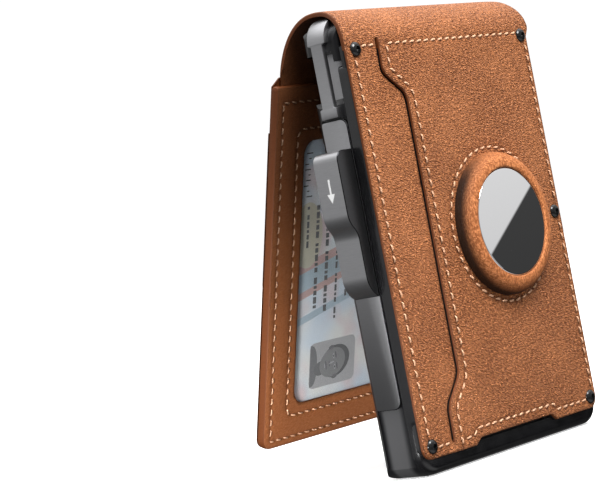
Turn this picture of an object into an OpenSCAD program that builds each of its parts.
// Minimalist card wallet: a rigid card case with a side slider, a key loop, a tracker tag under a
// leather dome, and a leather flap with an ID window that is stitched over the top.
// Frame: +X to the right seen from the tracker face, +Y towards the flap, +Z up.
// The origin lies in the plane of the case's bottom face, in line with the middle of the slider.

/* [Case] */
// Width of the case
case_w = 69.4; // [69:0.2:71]
// Height of the case
case_h = 104; // [103:0.5:104.5]
// Distance from the origin to the case's front face
case_front = 5.4; // [5:0.1:5.8]
// Distance from the origin to the case's back face
case_back = 6.2; // [6:0.1:6.6]
// Width of the card pocket
card_room_w = 55; // [54.5:0.5:56]
// Thickness of the card pocket
card_room_t = 6.2; // [5.8:0.1:6.2]

/* [Front panel] */
// Thickness of the stiff plate behind the front leather
plate_t = 0.8; // [0.6:0.1:1]
// Thickness of the front leather
leather_t = 1.1; // [0.8:0.1:1.2]
// Thickness of the second leather layer, which forms the long pocket
pocket_t = 0.7; // [0.5:0.1:1]
// Lowest edge of the front leather
panel_low = 3.8; // [3:0.2:5]
// Highest edge of the flat front leather
panel_top = 97.8; // [97.6:0.2:98.4]

/* [Tracker tag] */
// Centre of the tag across the case
tag_x = 8.3; // [4:0.1:9]
// Centre of the tag above the bottom
tag_z = 52.4; // [45:0.1:60]
// Radius of the tag's polished cover
tag_cover_r = 12.85; // [12.4:0.05:12.9]
// Radius of the tag's body
tag_r = 15.9; // [15.7:0.05:15.9]
// Height of the tag's cover over the pocket panel
tag_rise = 3.45; // [3:0.05:3.5]

/* [Slider] */
// Width of the slide plate and the thumb piece
slide_w = 7.4; // [6.4:0.2:8]
// Lowest edge of the slide plate
slide_low = 16.1; // [16:0.1:20]
// Highest edge of the slide plate
slide_top = 82.1; // [80:0.1:82.1]
// Reach of the thumb piece beyond the slide plate
thumb_reach = 5.45; // [5:0.05:7]
// Travel of the slider
slide_travel = 15; // [10:1:15]

/* [Flap] */
// Angle of the flap from straight down
flap_angle = 17.8; // [5:0.1:40]
// Height of the flap's turning axis
hinge_z = 106; // [105.5:0.5:107]
// Distance of the turning axis behind the middle plane
hinge_y = 2; // [1.5:0.1:2.5]
// Distance from the turning axis to the flap's inner face
flap_in = 7.9; // [7.7:0.1:8.5]
// Length from the turning axis to the flap's lower edge
flap_low = 103.5; // [102.5:0.1:104]
// Width of the ID window
window_w = 48.6; // [44:0.2:50]

/* [Hidden] */
$fn = 64;

far = 20;
side_x = case_w / 2;
leather_y = case_front + plate_t;
face_y = leather_y + leather_t;
pocket_face_y = face_y + pocket_t;

// Corner radii of the case seen from the front, from above and from the side
front_radii = [5, 5, 4.5, 4.5];
plan_radii = [1.5, 1.5, 3.5, 3.5];
side_radii = [2, 2, 4.5, 4];

// Card pocket, open at the bottom
room_left = 26.7;
room_front = 2.6;
room_top = 92;
room_right = card_room_w - room_left;
room_back = card_room_t - room_front;
thumb_notch = [-11, 13];
thumb_notch_h = 0.5;

// Screws at the corners of the front panel, and one halfway up its right edge
screw_x = 31.3;
right_screw_x = 30.8;
screw_low = 6.6;
screw_mid = 52.8;
screw_high = 96.7;
right_screws = [for (z = [screw_low, screw_mid, screw_high]) [right_screw_x, z]];
low_left_screw = [-screw_x, screw_low];
top_left_screw = [-screw_x, screw_high];
long_screws = concat(right_screws, [low_left_screw]);
// Wall between the tag and the card pocket, the cup on it, and the thickness of the tag's cover
tag_wall = 0.5;
cup_t = 0.4;
tag_cover_t = 0.75;
shoulder_h = tag_rise - tag_cover_t;

shank_r = 0.75;
head_r = 1.7;
head_t = 0.9;
insert_r = 1.6;
long_screw_end = 3.5;
short_screw_end = -3.4;

// Recess that the key bar crosses
recess_low = 86.6;
recess_top = 97.3;
recess_back = 29;
recess_floor = 30.1;
recess_bevel = 1.3;
boss_low = 94.9;
boss_back = 3.2;
liner_curve = 16;

// Key bar
bar_t = 1.3;
bar_out = side_x + bar_t;
bar_w = 3.3;
foot_w = 4.8;
cap_w = 5.1;
foot_low = 83.2;
foot_top = 84.9;
cap_reach = 3.6;
cap_front = 1.2;
foot_pin_z = 84.05;
head_pin_z = 98.6;

// Slider: the carriage runs on a steel rail in a channel of the left wall
rail_x = 29.6;
rail_r = 0.75;
channel_left = 31.2;
channel_half = 2.3;
channel_top = 82;
riser_left = 28.1;
carriage_low = 44;
carriage_top = 80;
riser_low = 60;
neck_low = 50;
neck_top = 62;
slider_screw_z = [53, 59];
slider_screw_r = 0.6;
plate_in = side_x - 0.5;
plate_out = side_x + 0.35;
thumb_top = 75.2;
thumb_step = 3.1;
shoulder_z = 61;
heel_z = 46.6;
heel_r = 5.5;
arrow_top = 69.2;
arrow_tip = 63.8;
pusher_low = 87.9;
pusher_steps = 4;
pusher_rise = 0.9;
pusher_end = 6;

// Layers of the flap, as distances from the turning axis
frame_out = flap_in + 0.6;
film_out = frame_out + 0.15;
card_out = film_out + 0.7;
lining_out = card_out + 0.55;
upper_out = lining_out + 0.4;
lower_out = upper_out + 0.45;

// Heights on the flap, measured down from the turning axis
flap_half_w = 34.7;
strap_half_w = 32.4;
flap_high = 16.7;
strap_high = 14.5;
lining_high = 24;
window_high = 30;
window_low = 93.9;
upper_pocket_high = 14.7;
lower_pocket_high = 27.5;
pocket_dip = 4.4;
notch_half_w = 11;
notch_h = 25.5;
card_w = 54;
card_h = 85.6;
card_low = 101.7;
film_half_w = 28.2;
film_high = 26;
film_low = 97.3;
board_half_w = 28.4;
board_low = 102;
magnet_x = 30.6;
magnet_w = 3;
magnet_low = 14;
magnet_high = 34;

leather_colour = [0.78, 0.47, 0.29];
dark_leather = [0.45, 0.26, 0.15];
metal_colour = [0.42, 0.42, 0.44];
black_colour = [0.07, 0.07, 0.08];
steel_colour = [0.8, 0.8, 0.82];
brass_colour = [0.8, 0.65, 0.3];

// Points of a circular arc, both ends included
function arc(centre, r, from, to, steps) =
    [for (i = [0:steps]) centre + r * [cos(from + (to - from) * i / steps),
        sin(from + (to - from) * i / steps)]];

// What a rounding of radius r takes off a corner whose inside lies towards inward
module corner_cut(corner, inward, r) {
    difference() {
        translate(corner + inward * (r - 1) / 2) square(r + 1, center = true);
        translate(corner + inward * r) circle(r);
    }
}

// Rectangle with true arcs at its corners, radii anticlockwise from the lower left
module rounded_rect(lo, hi, radii) {
    difference() {
        translate(lo) square(hi - lo);
        if (radii[0] > 0) corner_cut(lo, [1, 1], radii[0]);
        if (radii[1] > 0) corner_cut([hi[0], lo[1]], [-1, 1], radii[1]);
        if (radii[2] > 0) corner_cut(hi, [-1, -1], radii[2]);
        if (radii[3] > 0) corner_cut([lo[0], hi[1]], [1, -1], radii[3]);
    }
}

// Extrudes a shape drawn in X and Z from y0 to y1
module along_y(y0, y1) {
    translate([0, y1, 0]) rotate([90, 0, 0]) linear_extrude(y1 - y0) children();
}

// Extrudes a shape drawn in Y and Z from x0 to x1
module along_x(x0, x1) {
    translate([x0, 0, 0]) rotate([90, 0, 90]) linear_extrude(x1 - x0) children();
}

// A box from its two corners
module block(lo, hi) {
    translate(lo) cube(hi - lo);
}

// A rod along Y from y0 to y1 at a place given in X and Z
module rod_y(at, r, y0, y1) {
    translate([at[0], y1, at[1]]) rotate([90, 0, 0]) cylinder(r = r, h = y1 - y0);
}

// A rod along X from x0 to x1 at the height z
module rod_x(z, r, x0, x1) {
    translate([x0, 0, z]) rotate([0, 90, 0]) cylinder(r = r, h = x1 - x0);
}

// Turns a profile about the tag's axis; heights count outwards from the pocket panel's face
module on_tag() {
    translate([tag_x, -pocket_face_y, tag_z]) rotate([90, 0, 0]) rotate_extrude($fn = 96) children();
}

// Places what is drawn hanging straight down from the turning axis
module on_flap() {
    translate([0, hinge_y, hinge_z]) rotate([flap_angle, 0, 0]) children();
}

// ---- case ----

module case_block() {
    intersection() {
        along_y(-far, far) rounded_rect([-side_x, 0], [side_x, case_h], front_radii);
        linear_extrude(case_h)
            rounded_rect([-side_x, -case_front], [side_x, case_back], plan_radii);
        along_x(-side_x, side_x)
            rounded_rect([-case_front, 0], [case_back, case_h], side_radii);
    }
}

module key_recess() {
    difference() {
        along_y(-far, far) polygon([
            [-recess_back, recess_low],
            [-side_x + recess_bevel, recess_low],
            [-side_x - 1, recess_low - recess_bevel - 1],
            [-side_x - 1, recess_top],
            [-recess_back, recess_top]]);
        screw_boss();
    }
}

// Corner of the recess that stays solid to hold the top left screw
module screw_boss() {
    block([-side_x - 2, -far, boss_low], [-recess_back + 1, -boss_back, recess_top + 1]);
}

module slider_channel() {
    clear = 0.3;
    block([-channel_left, -channel_half, carriage_low - slide_travel - clear],
        [-room_left + 0.1, channel_half, channel_top]);
    block([-riser_left, -channel_half, channel_top - 1],
        [-room_left + 0.1, channel_half, room_top]);
    block([-side_x - 1, -1.4, neck_low - slide_travel - clear],
        [-channel_left + 0.1, 1.4, neck_top + clear]);
    block([-side_x - 1, -slide_w / 2 - 0.15, slide_low - slide_travel - clear],
        [-plate_in + 0.1, slide_w / 2 + 0.15, slide_top + clear]);
    translate([-rail_x, 0, carriage_low - slide_travel - 3]) cylinder(r = rail_r, h = 58.5);
}

module case_hollows() {
    block([-room_left, -room_front, -1], [room_right, room_back, room_top]);
    block([thumb_notch[0], -far, -1], [thumb_notch[1], far, thumb_notch_h]);
    slider_channel();
    key_recess();
    pin_holes();
    rod_y([tag_x, tag_z], 17.2, -far, -room_front - tag_wall);
    for (at = long_screws) rod_y(at, shank_r + 0.1, -far, 0.6);
    for (at = long_screws) rod_y(at, insert_r, 0.6, long_screw_end + 0.7);
    rod_y(top_left_screw, insert_r, -case_front, short_screw_end);
    for (side = [-1, 1]) magnet_bar(side * magnet_x, magnet_low, magnet_high, 4.9, 5.8);
    block([-12.2, room_back - 1, 19.8], [12.2, room_back + 0.8, 60.2]);
}

module magnet_bar(x, low, high, y0, y1) {
    block([x - magnet_w / 2, y0, low], [x + magnet_w / 2, y1, high]);
}

module case_front_shell() {
    color(black_colour) difference() {
        intersection() {
            case_block();
            block([-far * 2, -far, -1], [far * 2, 0, case_h + 1]);
        }
        case_hollows();
    }
}

module case_back_shell() {
    color(black_colour) difference() {
        intersection() {
            case_block();
            block([-far * 2, 0, -1], [far * 2, far, case_h + 1]);
        }
        case_hollows();
    }
}

// ---- front panel ----

// Outline shared by the stiff plate and the leather, with a thumb notch in its lower edge
module panel_shape() {
    middle = -1;
    difference() {
        rounded_rect([-side_x, panel_low], [side_x, panel_top], [3, 3, 0, 0]);
        polygon([
            [middle - 16.6, panel_low - 1],
            [middle + 16.6, panel_low - 1],
            [middle + 13.2, panel_low + 1.5],
            [middle - 13.2, panel_low + 1.5]]);
    }
}

// The second layer covers the right part; its left edge steps in around the pocket's mouth
module pocket_shape() {
    intersection() {
        panel_shape();
        polygon([
            [-23.6, panel_top + 1], [-24, 90.9], [-17.7, 86], [-17.1, 84],
            [-17.6, 21.5], [-18.4, 19.9], [-22.9, 14.9], [-23.5, 13.2], [-23.7, 0],
            [far * 2, 0], [far * 2, panel_top + 1]]);
    }
}

module screw_holes(places) {
    for (at = places) translate(at) circle(shank_r + 0.1);
}

module front_plate() {
    color(black_colour) along_y(-leather_y, -case_front) difference() {
        panel_shape();
        translate([tag_x, tag_z]) circle(17.2);
        screw_holes(concat(long_screws, [top_left_screw]));
    }
}

module front_leather() {
    color(leather_colour) along_y(-face_y, -leather_y) difference() {
        panel_shape();
        translate([tag_x, tag_z]) circle(16.2);
        screw_holes(concat(long_screws, [top_left_screw]));
    }
}

module pocket_panel() {
    color(leather_colour) along_y(-pocket_face_y, -face_y) difference() {
        pocket_shape();
        translate([tag_x, tag_z]) circle(16.2);
        screw_holes(right_screws);
    }
}

// A screw with a domed head: its shank runs from under the head at y0 to y1
module screw(at, y0, y1) {
    rod_y(at, shank_r, y0, y1);
    intersection() {
        rod_y(at, head_r, y0 - head_t, y0);
        translate([at[0], y0 - head_t + 2.3, at[1]]) sphere(2.3);
    }
}

module panel_screws() {
    color(black_colour) {
        for (at = right_screws) screw(at, -pocket_face_y, long_screw_end);
        screw(low_left_screw, -face_y, long_screw_end);
        screw(top_left_screw, -face_y, short_screw_end);
    }
}

// Brass sleeves that the screws bite into
module insert(at, y0, y1) {
    difference() {
        rod_y(at, insert_r, y0, y1);
        rod_y(at, shank_r, y0 - 1, y1 + 1);
    }
}

module screw_inserts() {
    color(brass_colour) {
        for (at = long_screws) insert(at, 0.6, long_screw_end + 0.7);
        insert(top_left_screw, -case_front, short_screw_end);
    }
}

// ---- tracker tag ----

// Moulded leather ring that rises from the panel and grips the tag's rim
module tracker_dome() {
    outer = [for (a = [0:7.5:90]) [13.3 + 3.8 * cos(a), (tag_rise + 0.35) * sin(a)]];
    inner = [for (a = [90:-7.5:0]) [13.2 + 2.8 * cos(a), (shoulder_h + 0.1) * sin(a)]];
    color(leather_colour) on_tag()
        polygon(concat(outer, [[12.95, tag_rise + 0.1], [12.95, shoulder_h + 0.35]], inner));
}

module tracker_seat() {
    base = room_front + tag_wall - pocket_face_y;
    rim = leather_y - pocket_face_y;
    color(black_colour) on_tag()
        polygon([[0, base], [17.2, base], [17.2, rim], [16.05, rim], [16.05, base + cup_t],
            [0, base + cup_t]]);
}

module tracker_body() {
    base = room_front + tag_wall + cup_t - pocket_face_y + 0.05;
    shoulder = [for (a = [0:7.5:90]) [tag_r - 2.75 + 2.75 * cos(a), shoulder_h * sin(a)]];
    color([0.95, 0.95, 0.95]) difference() {
        on_tag() polygon(concat([[0, base], [tag_r - 0.9, base], [tag_r, base + 0.9]], shoulder,
            [[0, shoulder_h]]));
        on_tag() translate([0, -3.5]) square([10.1, 3.4]);
    }
}

module tracker_cover() {
    color(steel_colour) on_tag() translate([0, shoulder_h]) square([tag_cover_r, tag_cover_t]);
}

module tracker_battery() {
    color(steel_colour) on_tag() translate([0, -3.4]) square([10, 3.2]);
}

// ---- key loop ----

module pin_holes() {
    for (z = [foot_pin_z, head_pin_z]) rod_x(z, 0.6, -far * 2, -side_x + 2.2);
}

// A strip that stands on the case's side, crosses the recess and bends over the top corner;
// past the arch's edge it is narrower, to stay clear of the leather
module key_bar() {
    bend = [-side_x + front_radii[3], case_h - front_radii[3]];
    color(metal_colour) difference() {
        union() {
            block([-bar_out, -foot_w / 2, foot_low], [-side_x, foot_w / 2, foot_top]);
            block([-bar_out, -bar_w / 2, foot_top], [-side_x, bar_w / 2, bend[1]]);
            block([bend[0], -cap_front, case_h], [bend[0] + cap_reach, cap_w / 2, case_h + bar_t]);
            cap_bend(bend, -cap_w / 2, -strap_half_w);
            cap_bend(bend, -cap_front, bend[0]);
        }
        pin_holes();
    }
}

// The bend of the key bar's cap, from front to its back edge and as far in as the plane x = inner
module cap_bend(bend, front, inner) {
    intersection() {
        difference() {
            rod_y(bend, front_radii[3] + bar_t, front, cap_w / 2);
            rod_y(bend, front_radii[3], -cap_w, cap_w);
        }
        block([-bar_out - 1, -cap_w, bend[1]], [inner, cap_w, case_h + bar_t + 1]);
    }
}

module key_bar_pins() {
    color(steel_colour) {
        for (z = [foot_pin_z, head_pin_z]) rod_x(z, 0.6, -bar_out, -side_x + 2.2);
    }
}

// Metal floor of the recess, slightly crowned
module key_recess_liner() {
    color(metal_colour) difference() {
        translate([0, 0, recess_low]) linear_extrude(recess_top - recess_low) intersection() {
            translate([-recess_floor + liner_curve, 0.4]) circle(liner_curve, $fn = 96);
            translate([-recess_floor - 1, -case_front])
                square([recess_floor + 1 - recess_back, case_front + case_back]);
        }
        screw_boss();
    }
}

// ---- inside the case ----

module guide_rail() {
    color(steel_colour) translate([-rail_x, 0, carriage_low - slide_travel - 3])
        cylinder(r = rail_r, h = 58.5);
}

// Bowed leaf that keeps the cards from rattling
module card_spring() {
    crown = [for (i = [0:12]) [20.5 + 39 * i / 12, room_back + 0.5 - 0.4 * sin(180 * i / 12)]];
    color(steel_colour) along_x(-6, 6) polygon(concat(
        [for (p = crown) [p[1], p[0]]],
        [for (i = [12:-1:0]) [crown[i][1] + 0.25, crown[i][0]]]));
}

module case_magnets() {
    color(steel_colour)
        for (side = [-1, 1]) magnet_bar(side * magnet_x, magnet_low, magnet_high, 4.9, 5.8);
}

// ---- slider ----

module slider_screw_holes() {
    for (z = slider_screw_z) rod_x(z, slider_screw_r, -plate_out - 3, -rail_x - rail_r - 0.3);
}

module slide_plate() {
    color(metal_colour) difference() {
        along_x(-plate_out, -plate_in)
            rounded_rect([-slide_w / 2, slide_low], [slide_w / 2, slide_top], [2, 2, 2, 2]);
        slider_screw_holes();
    }
}

// Side view of the thumb piece: a rounded top, a high upper part, a smooth step down to a lower
// part, and a long rounding back to the plate
module thumb_profile() {
    top_r = 2.3;
    shoulder_r = 5;
    hollow_r = (thumb_reach - shoulder_r * (1 - cos(42)) - thumb_step) / (1 - cos(42));
    hollow_z = shoulder_z - (shoulder_r + hollow_r) * sin(42);
    points = concat(
        [[0, thumb_top]],
        arc([thumb_reach - top_r, thumb_top - top_r], top_r, 90, 0, 8),
        arc([thumb_reach - shoulder_r, shoulder_z], shoulder_r, 0, -42, 6),
        arc([thumb_step + hollow_r, hollow_z], hollow_r, 138, 180, 6),
        arc([thumb_step - heel_r, heel_z], heel_r, 0, -acos((heel_r - thumb_step) / heel_r), 8));
    polygon([for (p = points) [-plate_out - p[0], p[1]]]);
}

module arrow_shape() {
    head = arrow_tip + 2.1;
    polygon([[-0.25, arrow_top], [-0.25, head], [-1.1, head], [0, arrow_tip], [1.1, head],
        [0.25, head], [0.25, arrow_top]]);
}

module thumb_slider() {
    face = plate_out + thumb_reach;
    color(metal_colour) difference() {
        along_y(-slide_w / 2, slide_w / 2) thumb_profile();
        along_x(-face - 1, -face + 0.3) arrow_shape();
        slider_screw_holes();
    }
}

module arrow_inlay() {
    face = plate_out + thumb_reach;
    color("white") along_x(-face, -face + 0.3) arrow_shape();
}

module slider_screws() {
    color(steel_colour) slider_screw_holes();
}

module slider_carriage() {
    color([0.2, 0.2, 0.22]) difference() {
        union() {
            block([-channel_left + 0.2, -2.1, carriage_low], [-riser_left - 0.1, 2.1, carriage_top]);
            block([-plate_in, -1.2, neck_low], [-channel_left + 0.2, 1.2, neck_top]);
        }
        translate([-rail_x, 0, carriage_low - 1])
            cylinder(r = rail_r + 0.05, h = carriage_top - carriage_low + 2);
        slider_screw_holes();
    }
}

// Riser beside the cards and a stepped arm over them, which fans them out as it moves down
module stepped_pusher() {
    arm_front = -room_front + 0.3;
    arm_w = card_room_t - 0.6;
    step = arm_w / pusher_steps;
    arm_left = -room_left + 0.2;
    arm_top = room_top - 0.6;
    color([0.25, 0.25, 0.27]) {
        block([-riser_left - 0.1, -2.1, riser_low], [arm_left, 2.1, carriage_top]);
        block([-riser_left + 0.2, -2.1, carriage_top], [arm_left, 2.1, arm_top]);
        for (i = [0:pusher_steps - 1])
            block([arm_left, arm_front + i * step, pusher_low + i * pusher_rise],
                [-pusher_end, arm_front + (i + 1) * step, arm_top]);
    }
}

// ---- leather over the top ----

// Outer line of the arch in Y and Z: a full quarter oval, then a curve that runs into the flap
crown_y = 3;
crown_z = 107.2;
fullness = 2 / 2.3;
arch_end = [hinge_y + lining_out * cos(flap_angle) + (strap_high - 0.3) * sin(flap_angle),
    hinge_z + lining_out * sin(flap_angle) - (strap_high - 0.3) * cos(flap_angle)];
arch_pull = arch_end + 6 * [-sin(flap_angle), cos(flap_angle)];
function bezier(a, b, c, d, t) =
    a * pow(1 - t, 3) + b * 3 * t * pow(1 - t, 2) + c * 3 * t * t * (1 - t) + d * pow(t, 3);
function arch_point(t) = t < 1
    ? [crown_y - (crown_y + face_y) * pow(cos(90 * t), fullness),
        panel_top + (crown_z - panel_top) * pow(sin(90 * t), fullness)]
    : bezier([crown_y, crown_z], [crown_y + 6.5, crown_z], arch_pull, arch_end, t - 1);
function arch_inner(t) =
    let (step = arch_point(min(t + 0.01, 2)) - arch_point(max(t - 0.01, 0)))
    arch_point(t) + leather_t * [step[1], -step[0]] / norm(step);

module arch_leather() {
    steps = 32;
    color(leather_colour) along_x(-strap_half_w, strap_half_w) polygon(concat(
        [for (i = [0:steps]) arch_point(2 * i / steps)],
        [for (i = [steps:-1:0]) arch_inner(2 * i / steps)]));
}

// ---- flap ----

// A sheet of the flap between two distances from the turning axis, drawn in X and Z
module flap_sheet(inner, outer) {
    on_flap() along_y(inner, outer) children();
}

module flap_panel(high) {
    rounded_rect([-flap_half_w, -flap_low], [flap_half_w, -high], [2.5, 2.5, 2, 2]);
}

// Thumb notch with a round top in the flap's lower edge
module arch_notch() {
    centre = -flap_low + notch_h - notch_half_w;
    translate([0, centre]) circle(notch_half_w);
    translate([-notch_half_w, -flap_low - 1]) square([notch_half_w * 2, centre + flap_low + 1]);
}

// Everything below a pocket's mouth, which dips in the middle; drop is how far its corners fall
module below_mouth(high, drop) {
    slope = [for (i = [0:8]) [28 - 18 * i / 8, -high - pocket_dip * (1 - cos(180 * i / 8)) / 2]];
    right = concat([[far * 2, -high - drop * 4], [flap_half_w, -high - drop],
        [strap_half_w, -high]], slope);
    polygon(concat(right,
        [for (i = [len(right) - 1:-1:0]) [-right[i][0], right[i][1]]],
        [[-far * 2, -flap_low - 1], [far * 2, -flap_low - 1]]));
}

module strap_leather() {
    color(leather_colour) flap_sheet(card_out, lining_out)
        translate([-strap_half_w, -lining_high])
            square([strap_half_w * 2, lining_high - strap_high]);
}

module window_frame() {
    half = window_w / 2;
    color(dark_leather) flap_sheet(flap_in, frame_out) difference() {
        flap_panel(flap_high);
        rounded_rect([-half, -window_low], [half, -window_high], [3.5, 3.5, 3.5, 3.5]);
    }
}

module window_film() {
    color([0.9, 0.95, 1, 0.3]) flap_sheet(frame_out, film_out)
        translate([-film_half_w, -film_low]) square([film_half_w * 2, film_low - film_high]);
}

module id_card() {
    color([0.8, 0.86, 0.9]) flap_sheet(film_out, card_out)
        rounded_rect([-card_w / 2, -card_low], [card_w / 2, -card_low + card_h], [3, 3, 3, 3]);
}

// U-shaped filler that leaves room for the card
module flap_board() {
    color([0.15, 0.12, 0.1]) difference() {
        flap_sheet(frame_out, card_out) difference() {
            flap_panel(flap_high);
            translate([-board_half_w, -board_low]) square([board_half_w * 2, far * 6]);
        }
        flap_magnet_bars();
    }
}

module flap_lining() {
    color(black_colour) flap_sheet(card_out, lining_out) flap_panel(lining_high);
}

module upper_pocket() {
    color(leather_colour) flap_sheet(lining_out, upper_out) difference() {
        intersection() {
            flap_panel(upper_pocket_high);
            below_mouth(upper_pocket_high, 2);
        }
        arch_notch();
    }
}

module lower_pocket() {
    color(leather_colour) flap_sheet(upper_out, lower_out) difference() {
        intersection() {
            rounded_rect([-flap_half_w, -flap_low], [flap_half_w, -lower_pocket_high],
                [2.5, 2.5, 0, 0]);
            below_mouth(lower_pocket_high, 0);
        }
        arch_notch();
    }
}

module flap_magnet_bars() {
    on_flap() for (side = [-1, 1])
        magnet_bar(side * magnet_x, magnet_low - hinge_z, magnet_high - hinge_z,
            frame_out + 0.05, card_out - 0.05);
}

module flap_magnets() {
    color(steel_colour) flap_magnet_bars();
}

case_front_shell();
case_back_shell();
front_plate();
front_leather();
pocket_panel();
tracker_dome();
tracker_seat();
tracker_body();
tracker_cover();
tracker_battery();
panel_screws();
screw_inserts();
key_bar();
key_recess_liner();
key_bar_pins();
guide_rail();
card_spring();
case_magnets();
slide_plate();
thumb_slider();
arrow_inlay();
slider_screws();
slider_carriage();
stepped_pusher();
arch_leather();
strap_leather();
window_frame();
window_film();
id_card();
flap_board();
flap_lining();
upper_pocket();
lower_pocket();
flap_magnets();
